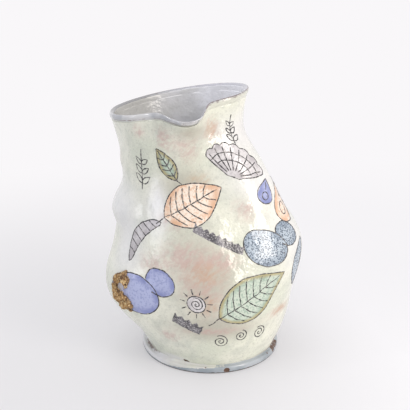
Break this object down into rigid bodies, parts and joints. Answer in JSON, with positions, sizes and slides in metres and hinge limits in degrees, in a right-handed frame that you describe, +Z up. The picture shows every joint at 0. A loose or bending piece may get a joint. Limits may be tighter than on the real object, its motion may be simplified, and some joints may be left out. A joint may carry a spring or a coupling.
{
  "type": "lobed jug",
  "caption": "Hand-altered ceramic jug with a leaning lobed belly, wide open mouth, pinched pouring lip, rolled rim, turned foot and pulled strap handle",
  "frame": {"origin": "centre of the foot's underside, on the plane that the jug stands on", "axes": "+Z up; the pouring lip faces -Y and the handle +Y; the jug leans towards -X"},
  "size_m": [0.1943, 0.2078, 0.2662],
  "materials": {
    "celadon_glaze": "gloss",
    "blue_glaze": "gloss",
    "rough_ochre_clay": "rough, matt"
  },
  "bodies": {
    "root": {"foot_ring": "blue_glaze", "floor_disc": "blue_glaze", "floor_fillet": "blue_glaze", "belly_wall": "celadon_glaze", "shoulder_wall": "celadon_glaze", "neck_collar": "celadon_glaze", "rim_roll": "blue_glaze", "upper_handle_root": "celadon_glaze", "handle_strap": "celadon_glaze", "lower_handle_root": "celadon_glaze", "ochre_crust": "rough_ochre_clay"}
  },
  "joints": []
}
